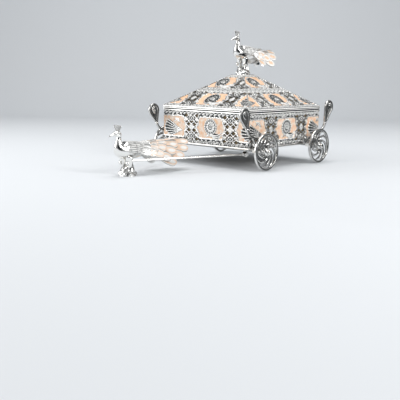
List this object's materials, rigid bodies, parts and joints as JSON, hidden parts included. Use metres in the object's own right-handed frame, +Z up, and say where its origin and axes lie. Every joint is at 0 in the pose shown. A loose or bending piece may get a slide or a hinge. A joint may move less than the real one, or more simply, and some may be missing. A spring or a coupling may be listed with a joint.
{
  "type": "trinket box",
  "caption": "Carriage-shaped trinket box with a hipped lift-off lid, peacock finial, scroll wheels and a drawing peacock.",
  "frame": {"origin": "bottom centre of the whole object's box, on the surface it stands on", "axes": "+Z up, the front with the drawing peacock faces -Y, +X is the carriage's right side"},
  "size_m": [0.2032, 0.3607, 0.1877],
  "materials": {
    "silver_plate": "bright polished silver plate",
    "enamelled_silver": "pressed silver plate, dark in the hollows, with peach enamel fields",
    "enamelled_feathers": "cast silver plate with peach and white enamel",
    "lacquered_brass": "dark lacquer",
    "steel": "plated"
  },
  "bodies": {
    "carriage": {"base_moulding": "silver_plate", "floor_plate": "lacquered_brass", "inner_box": "lacquered_brass", "front_panel": "enamelled_silver", "back_panel": "enamelled_silver", "left_panel": "enamelled_silver", "right_panel": "enamelled_silver", "body_rim": "silver_plate", "front_axle": "steel", "rear_axle": "steel", "axle_saddles": "silver_plate", "front_left_scroll": "silver_plate", "front_right_scroll": "silver_plate", "rear_left_scroll": "silver_plate", "rear_right_scroll": "silver_plate", "scroll_rivets": "silver_plate", "front_left_cap": "silver_plate", "front_right_cap": "silver_plate", "rear_left_cap": "silver_plate", "rear_right_cap": "silver_plate", "hitch_eye_left": "silver_plate", "hitch_eye_right": "silver_plate"},
    "lid": {"lid_rim": "silver_plate", "lid_lip": "lacquered_brass", "lid_core": "lacquered_brass", "front_roof": "enamelled_silver", "back_roof": "enamelled_silver", "left_roof": "enamelled_silver", "right_roof": "enamelled_silver", "hip_strips": "silver_plate", "crown_plate": "silver_plate", "finial_pedestal": "silver_plate", "finial_peacock": "silver_plate", "finial_crest": "silver_plate", "finial_train": "enamelled_feathers", "finial_screw": "steel"},
    "draw_gear": {"draw_rod_left": "silver_plate", "draw_rod_right": "silver_plate", "lead_pedestal": "silver_plate", "lead_peacock": "silver_plate", "lead_crest": "silver_plate", "lead_train": "enamelled_feathers"},
    "front_left_wheel": {"front_left_wheel": "silver_plate"},
    "front_right_wheel": {"front_right_wheel": "silver_plate"},
    "rear_left_wheel": {"rear_left_wheel": "silver_plate"},
    "rear_right_wheel": {"rear_right_wheel": "silver_plate"}
  },
  "joints": [
    {"name": "lid_lift", "type": "slide", "parent": "carriage", "child": "lid", "axis": [0, 0, 1], "range_m": [0, 0.06]},
    {"name": "draw_gear_lift", "type": "hinge", "parent": "carriage", "child": "draw_gear", "pos_m": [0, 0.00335, 0.02], "axis": [-1, 0, 0], "range_deg": [0, 15]},
    {"name": "front_left_wheel_spin", "type": "hinge", "parent": "carriage", "child": "front_left_wheel", "pos_m": [-0.0946, 0.00735, 0.025], "axis": [1, 0, 0], "continuous": true},
    {"name": "front_right_wheel_spin", "type": "hinge", "parent": "carriage", "child": "front_right_wheel", "pos_m": [0.0946, 0.00735, 0.025], "axis": [1, 0, 0], "continuous": true},
    {"name": "rear_left_wheel_spin", "type": "hinge", "parent": "carriage", "child": "rear_left_wheel", "pos_m": [-0.0946, 0.13335, 0.025], "axis": [1, 0, 0], "continuous": true},
    {"name": "rear_right_wheel_spin", "type": "hinge", "parent": "carriage", "child": "rear_right_wheel", "pos_m": [0.0946, 0.13335, 0.025], "axis": [1, 0, 0], "continuous": true}
  ]
}
